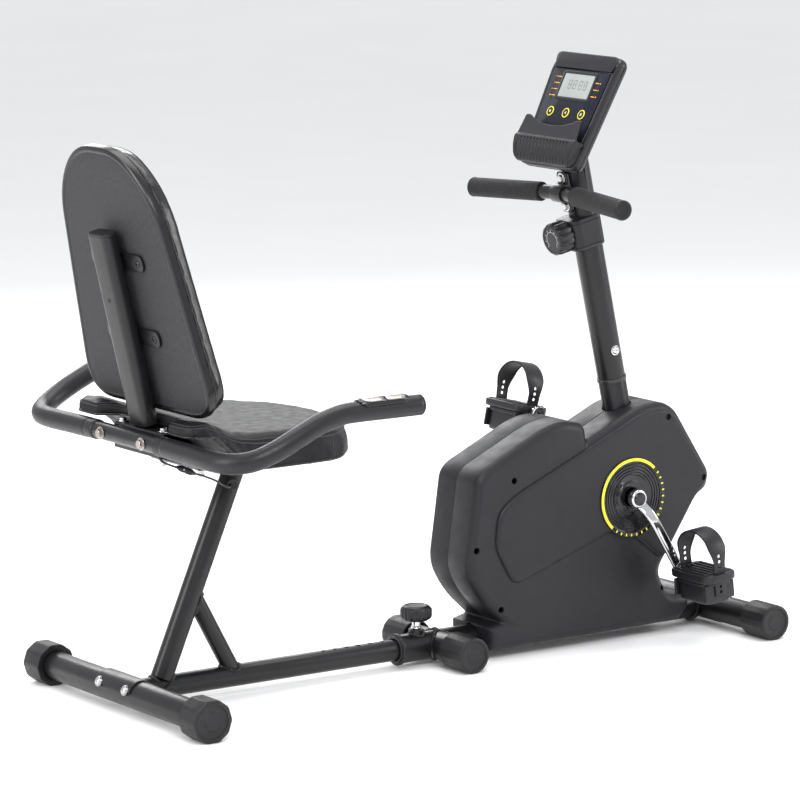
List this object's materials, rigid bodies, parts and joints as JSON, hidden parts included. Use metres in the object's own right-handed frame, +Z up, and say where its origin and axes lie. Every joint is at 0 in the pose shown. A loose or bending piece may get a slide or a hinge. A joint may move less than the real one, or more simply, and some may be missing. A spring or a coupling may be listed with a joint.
{
  "type": "exercise bike",
  "caption": "Recumbent magnetic exercise bike: sliding padded seat with backrest and side grips, cased flywheel drive, pedals with straps, mast, handlebar and console.",
  "frame": {"origin": "middle of the footprint on the floor", "axes": "+X from the seat to the console, +Y to the rider's left, +Z up"},
  "size_m": [1.327, 0.734, 1.0575],
  "materials": {
    "painted_steel": "satin powder coat",
    "casing_plastic": "fine texture",
    "trim_plastic": "satin",
    "foot_cap_plastic": "fine texture",
    "console_panel": "printed overlay",
    "lcd_glass": "clear window on a grey display",
    "foam_grip": "closed cell foam",
    "rubber": "soft",
    "black_vinyl": "grained vinyl",
    "back_board": "pebble grain",
    "chrome": "bright plated",
    "sensor_plate": "satin",
    "bare_steel": "machined",
    "flywheel_iron": "turned"
  },
  "bodies": {
    "main_frame": {"floor_beam": "painted_steel", "rail_bushing": "trim_plastic", "front_foot_tube": "painted_steel", "front_foot_cap_right": "foot_cap_plastic", "front_foot_cap_left": "foot_cap_plastic", "middle_foot_cap_right": "foot_cap_plastic", "middle_foot_cap_left": "foot_cap_plastic", "mast_stub": "painted_steel", "crank_bearing": "bare_steel", "casing_right": "casing_plastic", "casing_left": "casing_plastic", "crank_dish_right": "trim_plastic", "crank_dish_left": "trim_plastic", "drive_belt": "rubber", "flywheel_fork": "painted_steel", "mast": "painted_steel", "tension_housing": "trim_plastic", "handlebar_clamp": "painted_steel", "front_handlebar": "painted_steel", "front_grip_right": "foam_grip", "front_grip_left": "foam_grip", "console_front": "console_panel", "console_back": "trim_plastic", "lcd_window": "lcd_glass", "phone_rest": "trim_plastic"},
    "seat_carriage": {"seat_rail": "painted_steel", "seat_post": "painted_steel", "rear_foot_tube": "painted_steel", "rear_foot_cap_right": "foot_cap_plastic", "rear_foot_cap_left": "foot_cap_plastic", "seat_frame": "painted_steel", "seat_cushion": "black_vinyl", "backrest_upright": "painted_steel", "backrest_strap_lower": "painted_steel", "backrest_strap_upper": "painted_steel", "backrest_board": "back_board", "backrest_cushion": "black_vinyl", "rear_handlebar": "painted_steel", "rear_grip_right": "foam_grip", "rear_grip_left": "foam_grip", "pulse_plate_right": "sensor_plate", "pulse_plate_left": "sensor_plate", "pulse_lead": "rubber", "lead_plug": "rubber"},
    "pull_pin": {"pull_pin": "chrome", "pull_knob": "trim_plastic"},
    "crank": {"crank_axle": "bare_steel", "crank_arm_right": "chrome", "crank_arm_left": "chrome", "drive_pulley": "trim_plastic"},
    "pedal_right": {"pedal_right": "trim_plastic", "pedal_strap_right": "rubber"},
    "pedal_left": {"pedal_left": "trim_plastic", "pedal_strap_left": "rubber"},
    "flywheel": {"flywheel": "flywheel_iron"},
    "tension_knob": {"tension_knob": "trim_plastic"},
    "magnet_arm": {"magnet_arm": "bare_steel"},
    "button_right": {"button_right": "trim_plastic"},
    "button_middle": {"button_middle": "trim_plastic"},
    "button_left": {"button_left": "trim_plastic"}
  },
  "joints": [
    {"name": "seat_slide", "type": "slide", "parent": "main_frame", "child": "seat_carriage", "axis": [1, 0, 0], "range_m": [-0.1, 0.2]},
    {"name": "pin_pull", "type": "slide", "parent": "main_frame", "child": "pull_pin", "axis": [0, 0, 1], "range_m": [0, 0.012], "stiffness_N_per_m": 800, "springref_m": -0.008},
    {"name": "crank_turn", "type": "hinge", "parent": "main_frame", "child": "crank", "pos_m": [0.41454, 0, 0.265], "axis": [0, 1, 0], "continuous": true},
    {"name": "pedal_right_turn", "type": "hinge", "parent": "crank", "child": "pedal_right", "pos_m": [0.49815, -0.172, 0.12858], "axis": [0, 1, 0], "continuous": true},
    {"name": "pedal_left_turn", "type": "hinge", "parent": "crank", "child": "pedal_left", "pos_m": [0.33094, 0.172, 0.40142], "axis": [0, 1, 0], "continuous": true},
    {"name": "flywheel_turn", "type": "hinge", "parent": "main_frame", "child": "flywheel", "pos_m": [0.19054, 0, 0.232], "axis": [0, 1, 0], "continuous": true},
    {"name": "tension_turn", "type": "hinge", "parent": "main_frame", "child": "tension_knob", "pos_m": [0.35805, 0, 0.751], "axis": [-0.9763, 0, -0.2164], "range_deg": [0, 270]},
    {"name": "magnet_swing", "type": "hinge", "parent": "main_frame", "child": "magnet_arm", "pos_m": [0.26454, 0, 0.345], "axis": [0, 1, 0], "range_deg": [0, 4.5]},
    {"name": "button_right_press", "type": "slide", "parent": "main_frame", "child": "button_right", "axis": [0.891, 0, -0.454], "range_m": [0, 0.0012], "stiffness_N_per_m": 900, "springref_m": -0.0008},
    {"name": "button_middle_press", "type": "slide", "parent": "main_frame", "child": "button_middle", "axis": [0.891, 0, -0.454], "range_m": [0, 0.0012], "stiffness_N_per_m": 900, "springref_m": -0.0008},
    {"name": "button_left_press", "type": "slide", "parent": "main_frame", "child": "button_left", "axis": [0.891, 0, -0.454], "range_m": [0, 0.0012], "stiffness_N_per_m": 900, "springref_m": -0.0008}
  ],
  "couplings": [
    {"joint": "flywheel_turn", "follows": "crank_turn", "ratio": 5.4737},
    {"joint": "magnet_swing", "follows": "tension_turn", "ratio": 0.016667}
  ]
}
